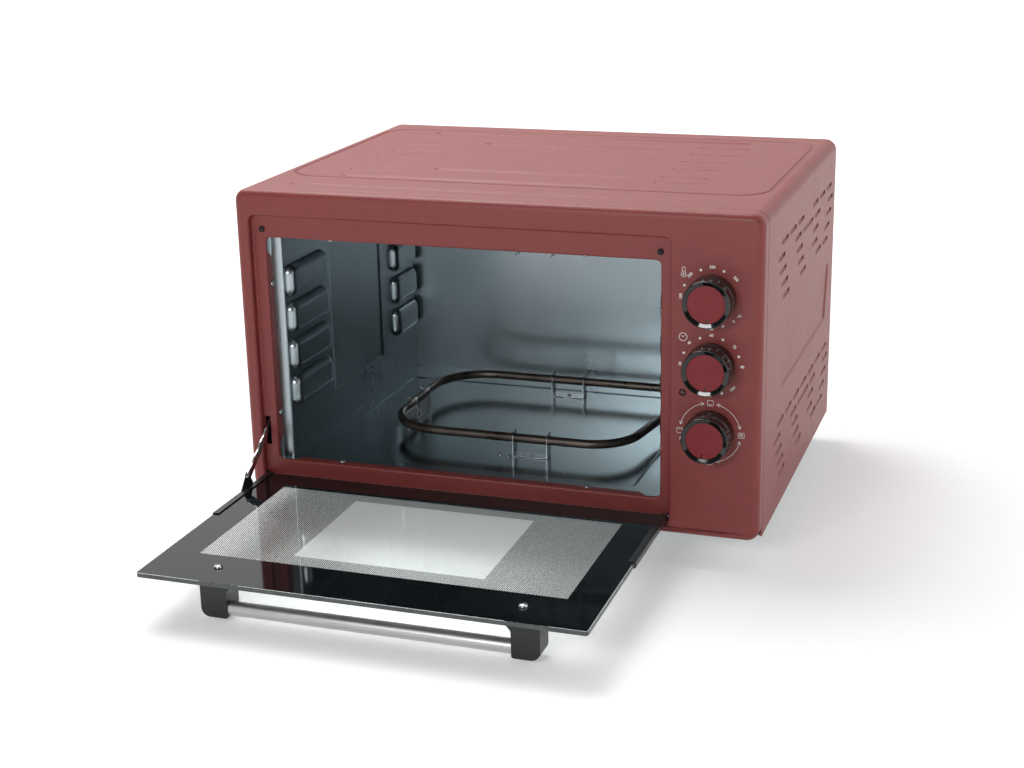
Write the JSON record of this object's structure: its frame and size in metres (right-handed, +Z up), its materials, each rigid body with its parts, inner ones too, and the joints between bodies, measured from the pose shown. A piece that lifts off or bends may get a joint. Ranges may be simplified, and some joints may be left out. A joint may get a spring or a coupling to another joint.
{
  "type": "mini oven",
  "caption": "Countertop mini oven with a drop-down glass door, bar handle, tube heaters, rack guides and turning control knobs.",
  "frame": {"origin": "centre of the whole outline at rest, door open, on the surface that the feet stand on", "axes": "+Z up, -Y towards the user in front of the door, +X to the right seen from the front"},
  "size_m": [0.52, 0.6578, 0.3415],
  "materials": {
    "case_paint": "burgundy fine-textured powder coat",
    "galvanised_liner": "galvanised sheet, cool grey, soft sheen",
    "bright_steel": "zinc-plated steel",
    "heater_tube": "dark oxidised heater tube",
    "door_glass": "tempered glass with a black printed border and a dot screen",
    "black_plastic": "satin black moulding",
    "knob_black": "gloss black moulding",
    "knob_red": "deep red satin disc",
    "lamp_lens": "dark red lens",
    "black_rubber": "soft black rubber",
    "black_steel": "satin black coated steel",
    "satin_bar": "satin anodised bar",
    "pale_plastic": "pale switch plastic"
  },
  "bodies": {
    "case": {"back_panel": "case_paint", "base_plate": "galvanised_liner", "cavity_back_wall": "galvanised_liner", "cavity_floor": "galvanised_liner", "cavity_left_flange": "galvanised_liner", "cavity_left_wall": "galvanised_liner", "cavity_right_wall": "galvanised_liner", "cavity_roof": "galvanised_liner", "cord_gland": "black_plastic", "door_bumper_left": "black_rubber", "door_bumper_right": "black_rubber", "flange_screw_1": "bright_steel", "flange_screw_2": "bright_steel", "flange_screw_3": "bright_steel", "flange_screw_4": "bright_steel", "flange_screw_5": "bright_steel", "flange_screw_6": "bright_steel", "flange_screw_7": "bright_steel", "flange_screw_8": "bright_steel", "foot_front_left": "black_plastic", "foot_front_right": "black_plastic", "foot_rear_left": "black_plastic", "foot_rear_right": "black_plastic", "front_fascia": "case_paint", "hinge_pin_left": "bright_steel", "hinge_pin_right": "bright_steel", "hinge_spring": "bright_steel", "indicator_lamp": "lamp_lens", "lower_bracket_front": "bright_steel", "lower_bracket_left": "bright_steel", "lower_bracket_rear": "bright_steel", "lower_heater": "heater_tube", "outer_shell": "case_paint", "selector_switch": "pale_plastic", "spring_anchor": "bright_steel", "temperature_switch": "pale_plastic", "terminal_block": "pale_plastic", "timer_switch": "pale_plastic", "upper_bracket_front": "bright_steel", "upper_bracket_rear": "bright_steel", "upper_heater": "heater_tube"},
    "door": {"arm_pin": "bright_steel", "door_channel_left": "black_steel", "door_channel_right": "black_steel", "door_glass": "door_glass", "handle_bar": "satin_bar", "handle_end_left": "black_plastic", "handle_end_right": "black_plastic", "handle_screw_left": "bright_steel", "handle_screw_right": "bright_steel"},
    "hinge_arm": {"hinge_arm": "bright_steel"},
    "temperature_dial": {"temperature_cap": "knob_red", "temperature_knob": "knob_black", "temperature_shaft": "bright_steel"},
    "timer_dial": {"timer_cap": "knob_red", "timer_knob": "knob_black", "timer_shaft": "bright_steel"},
    "selector_dial": {"selector_cap": "knob_red", "selector_knob": "knob_black", "selector_shaft": "bright_steel"}
  },
  "joints": [
    {"name": "door_hinge", "type": "hinge", "parent": "case", "child": "door", "pos_m": [-0.03555, -0.06852, 0.0485], "axis": [-1, 0, 0], "range_deg": [0, 90], "deforming": ["hinge_spring"]},
    {"name": "arm_pivot", "type": "hinge", "parent": "door", "child": "hinge_arm", "pos_m": [-0.24255, -0.11282, 0.0622], "axis": [-1, 0, 0], "range_deg": [-45, 1]},
    {"name": "temperature_turn", "type": "hinge", "parent": "case", "child": "temperature_dial", "pos_m": [0.2133, -0.07252, 0.2638], "axis": [0, 1, 0], "range_deg": [-45, 225]},
    {"name": "timer_turn", "type": "hinge", "parent": "case", "child": "timer_dial", "pos_m": [0.2133, -0.07252, 0.2006], "axis": [0, 1, 0], "range_deg": [-45, 270]},
    {"name": "selector_turn", "type": "hinge", "parent": "case", "child": "selector_dial", "pos_m": [0.2133, -0.07252, 0.1364], "axis": [0, 1, 0], "continuous": true}
  ],
  "couplings": [
    {"joint": "arm_pivot", "follows": "door_hinge", "ratio": -0.47}
  ]
}
